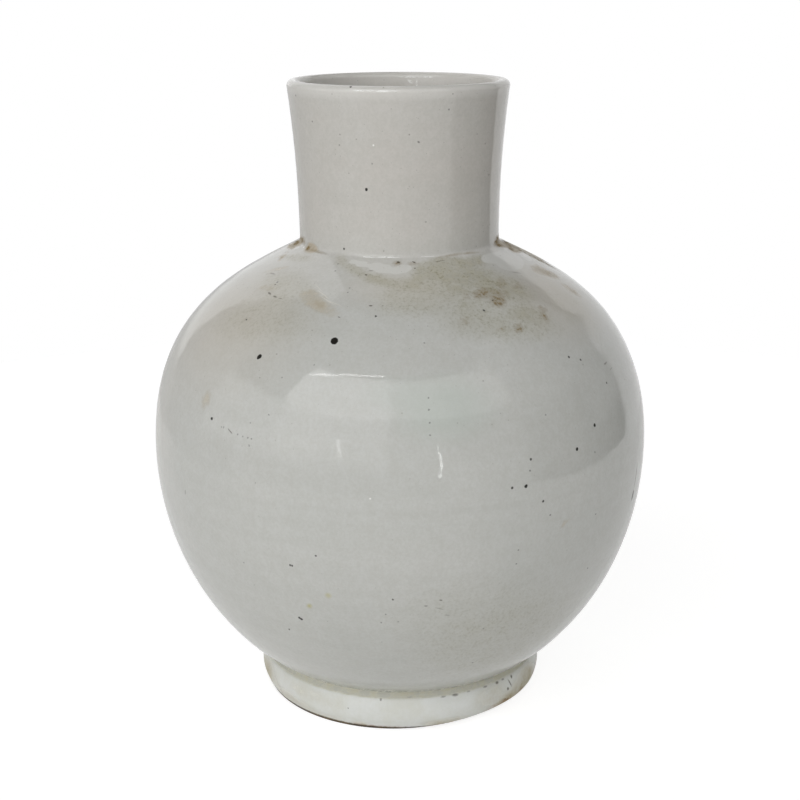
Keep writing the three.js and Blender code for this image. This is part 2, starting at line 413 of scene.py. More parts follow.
class Surface:
    """A material in the making, with short ways to add its nodes. A value is a number or a node's output."""

    def __init__(self, name):
        self.material = bpy.data.materials.new(name)
        self.material.use_nodes = True
        self.tree = self.material.node_tree
        self.tree.nodes.clear()
        self.shader = self.node("ShaderNodeBsdfPrincipled")
        output = self.node("ShaderNodeOutputMaterial")
        self.tree.links.new(self.shader.outputs["BSDF"], output.inputs["Surface"])
        coordinates = self.node("ShaderNodeTexCoord")
        self.place = self.scaled(coordinates.outputs["Object"], 1000)

    def node(self, kind, inputs=(), **settings):
        made = self.tree.nodes.new(kind)
        for name, value in settings.items():
            setattr(made, name, value)
        for key, value in dict(inputs).items():
            self.give(made.inputs[key], value)
        return made

    def give(self, socket, value):
        if isinstance(value, bpy.types.NodeSocket):
            self.tree.links.new(value, socket)
        else:
            socket.default_value = value

    def math(self, operation, a, b=0.0, clamp=False):
        made = self.node("ShaderNodeMath", {0: a, 1: b}, operation=operation, use_clamp=clamp)
        return made.outputs[0]

    def vector(self, operation, a, b=(0, 0, 0)):
        made = self.node("ShaderNodeVectorMath", {0: a, 1: b}, operation=operation)
        return made.outputs["Value" if operation in ("LENGTH", "DISTANCE", "DOT_PRODUCT") else "Vector"]

    def scaled(self, vector, factor):
        made = self.node("ShaderNodeVectorMath", {0: vector, "Scale": factor}, operation="SCALE")
        return made.outputs["Vector"]

    def split(self, vector):
        return self.node("ShaderNodeSeparateXYZ", {0: vector}).outputs

    def noise(self, place, size, detail=2.0, rough=0.5, colour=False):
        """Soft noise whose lumps are about that many millimetres wide, from 0 to 1."""
        inputs = {"Vector": place, "Scale": 1 / size, "Detail": detail, "Roughness": rough}
        made = self.node("ShaderNodeTexNoise", inputs)
        return made.outputs["Color" if colour else "Fac"]

    def ramp(self, value, low, high, to_low=0.0, to_high=1.0):
        """Goes smoothly from one value to the other as the first one goes from low to high."""
        inputs = {"Value": value, "From Min": low, "From Max": high, "To Min": to_low, "To Max": to_high}
        return self.node("ShaderNodeMapRange", inputs, interpolation_type="SMOOTHSTEP").outputs[0]

    def mix(self, share, a, b):
        """Goes from the first colour to the second as the share goes from 0 to 1."""
        made = self.node("ShaderNodeMix", data_type="RGBA")
        self.give(made.inputs[0], share)
        self.give(made.inputs[6], a)
        self.give(made.inputs[7], b)
        return made.outputs[2]

    def stretched(self, across, up):
        """The place with its level directions and its height divided by those sizes, for streaks."""
        return self.vector("DIVIDE", self.place, (across, across, up))

    def shaken(self, size, amount, detail=2.0):
        """The place moved about by noise, for ragged edges."""
        shift = self.vector("SUBTRACT", self.noise(self.place, size, detail, colour=True), (0.5, 0.5, 0.5))
        return self.vector("ADD", self.place, self.scaled(shift, amount))

    def kept(self, name):
        """How strongly a kind of stain that the mesh keeps lies here."""
        return self.node("ShaderNodeAttribute", attribute_name=name).outputs["Fac"]

    def veil(self, name, size, patchy):
        """A soft stain, made patchy by noise whose lumps are about that size."""
        lumps = self.ramp(self.noise(self.place, size, 5, 0.68), 0.34, 0.66, 1 - patchy, 1 + patchy)
        return self.math("MULTIPLY", self.kept(name), lumps)

    def patch(self, name, size, spread, low, high):
        """A stain with an edge, which noise makes ragged."""
        noise = self.noise(self.place, size, 4, 0.6)
        shift = self.math("MULTIPLY", self.math("SUBTRACT", noise, 0.5), spread)
        return self.ramp(self.math("ADD", self.kept(name), shift), low, high)

    def oval(self, place, row, core, wall):
        """A mark's strength in the middle of its oval and 0 outside it, with a soft edge outside its core."""
        centre, turn, half, strength = mark(*row, wall=wall)
        inputs = {"Vector": place, "Location": centre, "Rotation": turn.to_euler(), "Scale": half}
        mapped = self.node("ShaderNodeMapping", inputs, vector_type="TEXTURE").outputs[0]
        return self.ramp(self.vector("LENGTH", mapped), core, 1.0, strength, 0.0)

    def ovals(self, place, rows, core, wall=None):
        """The strongest of some marks, which lie on the outside unless another wall is given."""
        return self.most(self.oval(place, row, core, OUTER if wall is None else wall) for row in rows)

    def specks(self, size, radius, share):
        """Specks of up to a radius, in that share of random cells of a size."""
        cell = self.node("ShaderNodeTexVoronoi", {"Vector": self.place, "Scale": 1 / size}).outputs
        chance = self.node("ShaderNodeSeparateColor", {0: cell["Color"]}).outputs
        near = self.math("MULTIPLY", cell["Distance"], size / radius)
        small = self.ramp(chance[1], 0, 1, 0.4, 1.0)
        inside = self.ramp(self.math("DIVIDE", near, small), 0.55, 1.0, 1.0, 0.0)
        return self.math("MULTIPLY", inside, self.math("LESS_THAN", chance[0], share))

    def most(self, values):
        """The largest of some values."""
        largest = None
        for value in values:
            largest = value if largest is None else self.math("MAXIMUM", largest, value)
        return largest

    def nearest(self, place, centres):
        """The distance to the nearest of some points."""
        least = None
        for centre in centres:
            distance = self.vector("DISTANCE", place, centre)
            least = distance if least is None else self.math("MINIMUM", least, distance)
        return least

    def bump(self, height, distance, normal=None):
        """Raises the surface by a height from 0 to 1 times a distance in metres."""
        inputs = {"Height": height, "Distance": distance}
        if normal is not None:
            inputs["Normal"] = normal
        return self.node("ShaderNodeBump", inputs).outputs[0]


# Places on the walls, for marks. Angles are in degrees from the front, towards the right, and heights in
# millimetres.

def outer_wall():
    """The outside from the foot's base up to the top of the lip."""
    foot = foot_line(0)
    foot = foot[foot[:, 0] > FOOT_BASE_RADIUS - FOOT_BEVEL]
    foot = foot[:foot[:, 1].argmax()]
    wall = np.vstack([foot, bowl_line(), shoulder_line()[1:], neck_line()[1:]])
    return wall[:wall[:, 1].argmax() + 1] / MM


def neck_inside():
    """The neck's inside from its seat up to the top of the lip."""
    wall = neck_line()
    return wall[wall[:, 1].argmax():][::-1] / MM


OUTER = outer_wall()
NECK_INSIDE = neck_inside()


def on_wall(angle, height, wall):
    """The point of a wall there, and the directions across, up and out."""
    radius = np.interp(height, wall[:, 1], wall[:, 0])
    reach = np.interp([height - 0.5, height + 0.5], wall[:, 1], wall[:, 0])
    a = math.radians(angle)
    across = Vector((math.cos(a), math.sin(a), 0))
    level = Vector((math.sin(a), -math.cos(a), 0))
    up = (level * (reach[1] - reach[0]) + Vector((0, 0, 1))).normalized()
    return level * radius + Vector((0, 0, height)), across, up, across.cross(up)


def mark(angle, height, wide, tall, tilt=0, strength=1.0, wall=OUTER):
    """An oval on a wall, tilted anticlockwise, as its centre, turn, half sizes and strength."""
    centre, across, up, out = on_wall(angle, height, wall)
    turn = Matrix((across, up, out)).transposed() @ Matrix.Rotation(math.radians(tilt), 3, "Z")
    deep = 3 + (wide ** 2 + tall ** 2) / 250      # enough for the wall's curve within the oval
    return centre, turn, (wide / 2, tall / 2, deep), strength


def spots(places):
    """The centres of small spots on the outside."""
    return [on_wall(angle, height, OUTER)[0] for angle, height in places]


# Iron spots and pinholes: angle and height, and for the large ones also width, height and tilt
LARGE_SPOTS = (
    (-17.3, 216, 4.1, 4.2), (-36.8, 206.2, 2.5, 3.3, -28), (-17.5, 280.2, 1.6, 1.75),
)
DARK_SPOTS = (
    (-45.5, 175.2), (47.2, 170.8), (40.6, 162.4), (26.6, 150.3), (-24.2, 79.6), (-23.7, 79),
)
SMALL_DARK_SPOTS = (
    (-7.1, 226), (26.7, 226.4), (23.4, 150.6), (30.8, 141.2), (28, 162.6), (-17.7, 118.2), (-23.9, 111),
    (-23.4, 110.8), (-1.6, 96.4), (-28.3, 69.9), (56, 187), (-31.7, 249.8), (45.8, 203), (49.5, 200.5),
    (-51.8, 234), (-24.3, 329.6), (-174.5, 329.9), (-48.9, 218.9),
)
FAINT_SPOTS = (
    (-14, 292.9), (-49.9, 311.7), (10, 303.3), (6.4, 215.9), (-33.9, 177.9), (-33.5, 167.8), (-28.3, 199.4),
    (-20.9, 206.1), (-29.4, 182.9), (46.2, 158.1), (32.8, 133.3), (47, 125.7), (-31.3, 150.4),
    (-36.3, 106.2), (-34.7, 94.2), (-22.8, 72.5), (-17.1, 80.2), (20.1, 74.3), (-4.5, 69.2), (20.4, 49.4),
    (25.3, 110.9), (48.4, 94.5), (36.6, 61.9), (33.2, 181.5), (9.8, 303.5), (25.2, 318.6), (57.7, 284.4),
    (-63.8, 323.5), (27.7, 157.4), (-39.6, 158.8), (25.4, 118.3), (6.3, 194), (6.3, 189), (6.3, 183.5),
    (6.3, 178), (-3.2, 87.4), (-0.5, 83.1), (-4.3, 82.3), (-18.8, 235.6), (-18.7, 234), (-29.5, 241),
    (-31, 243.5),
)
CRUMBS = (
    (-41.9, 172.9), (-41.3, 172.9), (-36.9, 171.5), (-35.4, 171), (-34, 170.9), (-33, 170.8),
    (-33.4, 167.4),
)

# Each row of a stain or stroke is an oval: angle, height, width, its own height, tilt and strength.

# The yellowish film of old dirt. Its two broad rows low on the front right are painted shade, which darkens
# the lower right of the body.
FILM_AND_SHADE = (
    (26.2, 238.4, 64, 36, -6, 0.95), (40.7, 233, 46, 32, -27, 0.8), (31, 221.4, 84, 32, -11, 0.5),
    (6.9, 231.6, 60, 34, -1, 0.45), (36.5, 243.5, 56, 11, 7, 0.8), (24, 244.5, 40, 11, 2, 0.9),
    (41, 222.5, 34, 18, -10, 0.6), (14.5, 242.5, 26, 16, 0, 0.7), (25, 228.5, 34, 18, 0, 0.55),
    (-30.9, 244.9, 15, 8, -38, 0.5), (-19.9, 241.8, 30, 9, -27, 0.55), (-8.8, 239, 28, 11, -18, 0.65),
    (1, 237.4, 26, 13, 0, 0.55), (8.7, 240.1, 22, 10, 62, 0.7), (-46.2, 233.6, 60, 30, -9, 0.34),
    (-43.2, 220.7, 90, 40, 6, 0.3), (-60, 243, 34, 10, 10, 0.5), (62, 222, 50, 40, -20, 0.15),
    # The first two rows here are painted shade on the lower right of the body
    (30, 60, 130, 80, 0, 0.3), (18, 84, 110, 60, 0, 0.16), (100, 238, 60, 26, 0, 0.8),
    (150, 241, 70, 22, 0, 0.6), (-110, 240, 60, 24, 0, 0.6), (-165, 236, 54, 26, 0, 0.5),
)
# Paler patches where the film is left out
CLEAN = (
    (-19.5, 244.4, 19, 4.8, -17), (-8.1, 243, 19, 8.6, -20), (1, 242.6, 14, 8, 24),
    (61.5, 241.3, 35, 20, 9), (52, 243.6, 24, 11, 5, 0.6), (75.4, 244.5, 20, 2.6, 10),
    (81, 239.8, 19, 9, 12), (-73.6, 245.4, 7, 4, 20),
)
# Thin tan stains
TAN = (
    (72, 234.8, 24, 16, -4, 0.55), (76, 231.5, 20, 11, -12, 0.5), (73.8, 224.7, 20, 12, -70, 0.5),
    (-30.5, 230.8, 30, 15, -30, 0.46), (-24, 227.6, 28, 11, -22, 0.42), (-71.1, 240.8, 9, 4, -33, 0.7),
    (-49.1, 182.7, 10.5, 15, 0, 0.45), (37, 127, 9, 4, 20, 0.45), (-84, 244.6, 30, 6, 5, 0.8),
    (98, 238, 16, 36, 0, 0.7), (-62, 237.5, 26, 6, 35, 0.4), (-53, 231.5, 22, 8, 10, 0.35),
    (-74, 241.5, 16, 5, 30, 0.5), (-80, 247, 16, 9, 0, 0.9), (80, 246.5, 20, 12, 0, 1),
    (-58, 247, 18, 8, 0, 0.9), (88, 243, 34, 14, 0, 0.9),
)
# Thick brown dirt
BROWN = (
    (30, 232.4, 16, 10, 20, 0.85), (34, 229.4, 15, 11, 43, 1), (33, 228.9, 4.6, 3.8, 20, 1.8),
    (30.2, 233.2, 3, 2, 0, 1.4), (37.1, 231.9, 14, 7, -21, 0.5), (41.5, 234.8, 15, 7, 34, 0.3),
    (47.4, 232.9, 12, 4, 13, 0.45), (23.7, 232.4, 9, 5, 60, 0.4), (46.3, 220.3, 7, 4.5, -60, 1.3),
    (34.6, 218.1, 6, 4.5, 15, 1.5), (28.9, 219.3, 5.5, 2.8, -5, 0.8), (19.1, 223.2, 10, 8, 36, 0.35),
    (48.2, 223.2, 6, 4, -37, 0.9), (73, 247.3, 14, 7, 4, 1.3), (80, 243.6, 14, 5.4, 10, 1.2),
    (90, 244.6, 24, 9, 0, 1.2), (74, 247.6, 16, 9, 0, 1.3), (-62, 236, 6, 3, 33, 0.5),
    (-86, 246, 20, 7, 5, 1.4), (-74, 249, 18, 5.4, 3, 0.9), (-61, 246.8, 5.4, 3.6, -15, 1.5),
    (-1, 245, 6, 4, 0, 0.9), (6.5, 244.6, 7, 3, -20, 0.8), (-48.5, 218.9, 5, 3.5, -20, 0.3),
    (90, 237.5, 14, 42, 0, 0.9), (34, 247, 40, 1.8, 0, 0.6), (-50, 246.6, 20, 2.6, -3, 0.6),
    (-75.9, 243, 10, 3, -30, 0.5),
)
# Where the glaze has a warmer tone
WARM = (
    (-58, 218, 150, 110, 0, 1), (62, 226, 110, 80, 0, 1), (-80, 160, 110, 150, 0, 0.5),
    (0, 236, 90, 40, 0, 0.5), (180, 225, 170, 90, 0, 0.8),
)
# Painted reflection: a greener patch at the front, standing in for the reflection of a greenish wall in front
PAINTED_GREEN_REFLECTION = (
    (9.8, 189.5, 66, 44, 0, 1), (0, 196, 50, 22, 0, 0.5),
)
# Small dark strokes
STROKES = (
    (-0.5, 245.2, 2.4, 2.1, -3), (7.3, 245.1, 3.2, 1.1, -45), (7.3, 242.9, 1.4, 0.9, 80),
    (20.9, 245.1, 9, 0.8, 6, 0.7), (55.1, 237, 9, 0.7, -26, 0.6), (-14.5, 240.5, 2.1, 1.6, -52, 0.9),
    (-9.3, 229.7, 2.5, 1.3, 1, 0.9), (-18.2, 225, 1.9, 0.9, -15, 0.8), (-60.1, 236, 6.5, 1.6, 5, 0.5),
    (-51.4, 233.1, 1.7, 1.4, 0, 0.9), (-49.4, 229.8, 4.4, 1.5, -15, 0.9), (-45.6, 229.2, 4, 1.3, -12, 0.85),
    (-42.7, 228.9, 3, 1, 10, 0.5), (3.7, 20.9, 6, 1.1, 0, 0.8), (59.2, 195, 5.9, 1.1, 8, 0.55),
    (60.6, 191.6, 5, 0.8, 10, 0.4), (-13, 242, 3, 0.8, 5, 0.7), (32, 229.6, 1.6, 1.1, 20, 0.9),
    (-54.3, 133.1, 4, 1.2, 75, 0.5), (66.5, 122, 8, 4.6, 78, 1), (67.4, 132, 18, 3.4, 78, 0.5),
    (-39.2, 172, 5.2, 1, -30, 0.75), (5.6, 92.2, 2.6, 1.3, 0, 0.6), (8.8, 95.3, 2.2, 1.1, -15, 0.8),
    (8.7, 90.2, 6, 0.8, -25, 0.35), (10.6, 85.8, 3.4, 1, -15, 0.4),
)
# Pale scratches through the film
SCRATCHES = (
    (-27.5, 232.6, 14, 0.7, -30, 0.9), (-24.5, 230.6, 15, 0.6, -27, 0.9), (-21.5, 229.8, 13, 0.6, -22, 0.8),
    (-31, 234.6, 12, 0.6, -33, 0.6), (70, 231, 8, 0.6, -40, 0.6),
)
# Pale pinholes, the first of them a painted highlight, and yellow spots
PALE_PINHOLES_AND_GLINT = (
    (-6, 149.1), (-66.9, 246.5), (-13.1, 301.9),
)
YELLOW = (
    (-20.8, 88.6, 5, 4, 50, 0.7), (-15.8, 96.6, 5, 4.8, 30, 0.5),
)

# Painted highlights: thin white lines along the crease under the neck and along the lip, in place of the
# glaze's shine there
PAINTED_HIGHLIGHTS = (
    (-17.2, 246.9, 11, 0.8, 0), (-6.2, 247.1, 17, 0.8, 0), (16, 247.1, 14, 0.6, 0, 0.6),
    (-19.3, 327.9, 8.5, 0.9, 0), (-8, 327.9, 10.5, 1.2, 0), (-14, 328, 7, 0.7, 0, 0.6),
    (-2.5, 328, 8, 0.7, 0, 0.6),
)
# The same painted highlights just inside the lip
PAINTED_HIGHLIGHTS_INSIDE = (
    (173, 327.4, 20, 0.9, 0), (162, 327.5, 8, 1.4, 0), (173, 325, 5, 2, 30, 0.8),
    (169, 324, 1.4, 6, 0, 0.7),
)


# Colours of the glaze, and of what lies in and on it
COOL_GLAZE = srgb(209, 210, 206)
WARM_GLAZE = srgb(211, 207, 201)
PALE_GLAZE = srgb(217, 217, 213)
STREAK = srgb(176, 178, 170)
MOTTLE = srgb(183, 182, 172)
GRAIN = srgb(176, 175, 165)
WARM_TONE = srgb(206, 195, 178)
LIP_TONE = srgb(234, 232, 227)
CLEAN_GLAZE = srgb(227, 227, 223)
# Colour of the painted reflection of a greenish wall
PAINTED_GREEN_REFLECTION_COLOUR = srgb(191, 201, 192)
# White of the pale pinholes, also used for the painted highlights
WHITE_BODY_AND_HIGHLIGHT = srgb(250, 250, 247)
# Colour of the film, and of the painted shade that it carries
FILM_DIRT_AND_SHADE = srgb(162, 156, 124)
DARK_DIRT = srgb(116, 108, 76)
TAN_DIRT = srgb(172, 150, 104)
BROWN_DIRT = srgb(132, 110, 64)
LOW_DIRT = srgb(160, 155, 128)
SCRATCHED = srgb(226, 222, 212)
SEAM = srgb(150, 150, 140)
SPECK = srgb(92, 84, 66)
DUST = srgb(96, 92, 80)
YELLOW_SPOT = srgb(190, 184, 116)
STROKE = srgb(66, 55, 38)
IRON = srgb(30, 27, 22)
# Silt in the foot's groove and on its ledge, painted paler than the glaze to lift the shade there
PALE_SILT_AND_LIGHT = srgb(240, 240, 231)
DARK_SILT_AND_LIGHT = srgb(224, 222, 206)

# Heights from and to which the look changes
NECK_TONE = (225, 262)
SPECKLED_SHOULDER = (150, 235)
PALE_LIP = (322, 327)
DIRTY_BOWL = (20.5, 36)
# Heights of the groove's silt, which is painted pale to lift the groove's shade
SILT_AND_LIGHT_GROOVE = (20.6, 22.0)

SEAM_HEIGHT = 142        # of the faint line round the widest part


def bare_glaze(s, height, mottle):
    """The colour of the grey-white glaze itself."""
    slow = s.noise(s.place, 70, 3)
    streaks = s.noise(s.stretched(90, 7), 1, 4, 0.6)
    colour = s.mix(s.ramp(height, *NECK_TONE), COOL_GLAZE, WARM_GLAZE)
    colour = s.mix(s.ramp(slow, 0.35, 0.7, 0, 0.5), colour, PALE_GLAZE)
    colour = s.mix(s.ramp(streaks, 0.3, 0.7, 0.0, 0.09), colour, STREAK)
    return s.mix(s.ramp(mottle, 0.3, 0.7, 0, 0.2), colour, MOTTLE)


def with_dirt(s, colour, height, mottle, grain):
    """Adds the outside's tones, the dirt of long use, and the painted shade that the film carries low on the
    right. Returns the colour, and how much dirt and painted shade there is.
    """
    colour = s.mix(s.ramp(grain, 0.32, 0.68, 0, 0.13), colour, GRAIN)
    colour = s.mix(s.math("MULTIPLY", s.kept("warm"), 0.4), colour, WARM_TONE)
    colour = s.mix(s.ramp(height, *PALE_LIP, 0.0, 0.45), colour, LIP_TONE)
    clean = s.patch("clean", 3, 0.6, 0.26, 0.54)
    colour = s.mix(s.math("MULTIPLY", clean, 0.5), colour, CLEAN_GLAZE)

    # The film, which also holds painted shade on the lower right of the body
    film_and_shade = s.math("MULTIPLY", s.veil("film_and_shade", 8, 0.3), s.math("SUBTRACT", 1.0, clean))
    film_and_shade = s.math("MULTIPLY", film_and_shade, s.ramp(grain, 0.42, 0.6, 0.88, 1.12))
    colour = s.mix(s.math("MULTIPLY", film_and_shade, 0.5, clamp=True), colour, FILM_DIRT_AND_SHADE)
    clots = s.math("MULTIPLY", s.ramp(grain, 0.54, 0.64), film_and_shade)
    colour = s.mix(s.math("MULTIPLY", clots, 0.32, clamp=True), colour, DARK_DIRT)
    tan = s.math("MULTIPLY", s.patch("tan", 4, 0.5, 0.1, 0.8), s.ramp(grain, 0.4, 0.6, 0.8, 1.0))
    colour = s.mix(s.math("MULTIPLY", tan, 0.55), colour, TAN_DIRT)
    brown = s.math("MULTIPLY", s.veil("brown", 3, 0.35), s.ramp(grain, 0.4, 0.6, 0.85, 1.15))
    colour = s.mix(s.math("MULTIPLY", brown, 0.67, clamp=True), colour, BROWN_DIRT)
    scratch = s.ovals(s.shaken(5, 0.8), SCRATCHES, 0.5)
    colour = s.mix(s.math("MULTIPLY", scratch, 0.7), colour, SCRATCHED)

    low = s.ramp(s.split(s.shaken(3.5, 2.2, 4))[2], *DIRTY_BOWL, 1.0, 0.0)
    low = s.math("MULTIPLY", low, s.ramp(mottle, 0.35, 0.65, 0.5, 1.1))
    colour = s.mix(s.math("MULTIPLY", low, 0.38), colour, LOW_DIRT)
    dirt_and_painted_light = s.most((s.math("MULTIPLY", film_and_shade, 0.5), tan, brown, s.math("MULTIPLY", low, 0.6)))
    return colour, dirt_and_painted_light


def with_marks(s, colour, height, mottle, grain):
    """Adds the groove's silt, painted pale to lift the groove's shade, the painted green reflection, the
    seam, specks, strokes, spots, and painted highlights. Returns the colour, and the rough marks.
    """
    fine = s.shaken(1.4, 0.7, 2)
    # Silt in the groove at the bottom of the bowl, painted pale: painted light that lifts the groove's shade
    groove_silt_and_light = s.ramp(s.split(fine)[2], *SILT_AND_LIGHT_GROOVE, 1.0, 0.0)
    groove_silt_and_light = s.math("MULTIPLY", groove_silt_and_light, s.ramp(mottle, 0.35, 0.65, 0.5, 1.0))
    colour = s.mix(groove_silt_and_light, colour, s.mix(s.ramp(mottle, 0.4, 0.62), PALE_SILT_AND_LIGHT, DARK_SILT_AND_LIGHT))
    # Painted reflection of a greenish wall, as a greener patch at the front
    colour = s.mix(s.math("MULTIPLY", s.kept("painted_green_reflection"), 0.45), colour, PAINTED_GREEN_REFLECTION_COLOUR)
    seam = s.ramp(s.math("ABSOLUTE", s.math("SUBTRACT", height, SEAM_HEIGHT)), 0.4, 3.0, 0.03, 0.0)
    colour = s.mix(seam, colour, SEAM)

    shoulder = s.ramp(height, *SPECKLED_SHOULDER, 0.25, 1.0)
    specks = s.math("MULTIPLY", s.specks(4.2, 0.55, 0.30), shoulder)
    colour = s.mix(s.math("MULTIPLY", specks, 0.5), colour, SPECK)
    dust = s.math("MULTIPLY", s.specks(2.1, 0.35, 0.40), shoulder)
    colour = s.mix(s.math("MULTIPLY", dust, 0.3), colour, DUST)
    colour = s.mix(s.ovals(fine, YELLOW, 0.1), colour, YELLOW_SPOT)
    strokes = s.math("MULTIPLY", s.ovals(fine, STROKES, 0.4), 0.85)
    colour = s.mix(strokes, colour, STROKE)

    large = s.ovals(fine, LARGE_SPOTS, 0.8)
    dark = s.ramp(s.nearest(fine, spots(DARK_SPOTS)), 0.75, 1.05, 1, 0)
    small = s.ramp(s.nearest(fine, spots(SMALL_DARK_SPOTS)), 0.45, 0.8, 0.9, 0)
    faint = s.ramp(s.nearest(fine, spots(FAINT_SPOTS)), 0.25, 0.7, 0.55, 0)
    crumbs = s.ramp(s.nearest(fine, spots(CRUMBS)), 0.35, 0.8, 0.6, 0)
    iron = s.most((large, dark, small, faint, crumbs))
    colour = s.mix(iron, colour, IRON)
    # Painted highlights: white lines on the crease under the neck and on the lip
    painted_highlights = s.most((s.ovals(fine, PAINTED_HIGHLIGHTS, 0.3), s.ovals(fine, PAINTED_HIGHLIGHTS_INSIDE, 0.3, NECK_INSIDE)))
    painted_highlights = s.math("MULTIPLY", painted_highlights, s.ramp(grain, 0.35, 0.5))
    # Pale pinholes; the one low on the front, at -6 degrees, is a painted highlight
    pinholes_and_glint = s.ramp(s.nearest(s.place, spots(PALE_PINHOLES_AND_GLINT)), 0.35, 0.7, 0.9, 0)
    colour = s.mix(s.math("MAXIMUM", painted_highlights, pinholes_and_glint), colour, WHITE_BODY_AND_HIGHLIGHT)
    return colour, s.most((iron, strokes, specks))


def glaze(name, marked):
    """The grey-white glaze. The outside also gets its dirt, its marks, and its painted shade, highlights and
    reflection.
    """
    s = Surface(name)
    height = s.split(s.place)[2]
    mottle = s.noise(s.place, 6, 5, 0.78)
    colour = bare_glaze(s, height, mottle)
    rough = s.ramp(mottle, 0.2, 0.9, 0.03, 0.09)
    if marked:
        grain = s.noise(s.place, 1.5, 3, 0.7)
        colour, dirt_and_painted_light = with_dirt(s, colour, height, mottle, grain)
        colour, marks = with_marks(s, colour, height, mottle, grain)
        rough = s.math("ADD", rough, s.math("MULTIPLY", dirt_and_painted_light, 0.5))
        rough = s.math("ADD", rough, s.math("MULTIPLY", marks, 0.25), clamp=True)
    s.give(s.shader.inputs["Base Color"], colour)
    s.give(s.shader.inputs["Roughness"], rough)
    s.shader.inputs["IOR"].default_value = 1.5
    wavy = s.bump(s.noise(s.place, 14, 2, 0.4), 0.25 * MM)
    s.give(s.shader.inputs["Normal"], s.bump(s.noise(s.place, 2.2, 3, 0.5), 0.02 * MM, normal=wavy))
    return s.material


# Stains and strokes on the foot ring
FOOT_TAN = (
    (50, 5, 46, 17, 12, 1), (62, 9, 40, 24, 0, 1), (-50, 4.5, 48, 14, -4, 0.4), (18, 3, 34, 8, 0, 0.7),
    (-16, 2, 16, 6, 0, 0.6), (-32, 2, 30, 8, 0, 0.3), (-72, 9, 40, 24, 0, 0.8), (110, 8, 60, 18, 0, 0.7),
    (-140, 6, 60, 12, 0, 0.6), (170, 5, 50, 11, 0, 0.6), (38, 12, 34, 18, 0, 0.35),
    (-40, 14, 70, 12, 0, 0.2),
)
FOOT_RUST = (
    (46.5, 5, 12, 8, 20, 0.7), (58, 5, 10, 6, 20, 0.8), (50, 3.2, 30, 5, 8, 1), (72, 6, 12, 9, 0, 0.6),
    (40, 4, 16, 7, 10, 0.5), (77, 9, 12, 16, 0, 0.4), (-58, 4, 14, 6, 0, 0.3), (-8, 1.4, 40, 2.6, 0, 0.9),
    (20, 1.5, 30, 2.2, 0, 0.7), (175, 3, 16, 5, 0, 0.7),
)
FOOT_STROKES = (
    (51, 17.2, 2.2, 2.8, 0), (49.3, 14.6, 1.5, 7.6, 24, 0.8), (47.7, 12.1, 2.2, 3, 15),
    (42.2, 17.9, 3.4, 2.2, 0, 0.9), (-7.8, 18.2, 1.6, 2.2, 0, 0.7), (-20.7, 11.5, 1.1, 1.1, 0, 0.8),
    (22, 18.2, 5, 2, 0, 0.8), (17, 18.3, 4, 1.4, 0, 0.6), (28, 18.3, 3, 1.2, 0, 0.5),
    (36, 18.2, 4, 1.4, 0, 0.7), (46.6, 6.2, 1.8, 1.8, 0, 0.8), (57.7, 3.9, 3, 2, 20, 0.9),
    (48.4, 5.1, 2.4, 2.4, 20, 0.9), (45.8, 18.2, 3, 1.4, 0, 0.6),
)


# Colours of the foot's glaze and dirt
WHITE_GLAZE = srgb(231, 233, 230)
DULL_GLAZE = srgb(225, 226, 219)
FOOT_GRAIN = srgb(190, 188, 176)
FOOT_TAN_DIRT = srgb(176, 162, 122)
RUST = srgb(146, 104, 66)
FOOT_STROKE = srgb(74, 64, 44)
BURNT_DARK = srgb(58, 46, 32)
BURNT_LIGHT = srgb(104, 88, 62)
BARE_BODY = srgb(190, 180, 160)

# Heights and radii from and to which it changes
LEDGE_HEIGHTS = (17.7, 18.4)
LEDGE_RADII = (75.6, 76.4)
BURNT_HEIGHTS = (1.5, 2.5)
UNDERSIDE_RADII = (72.8, 73.6)


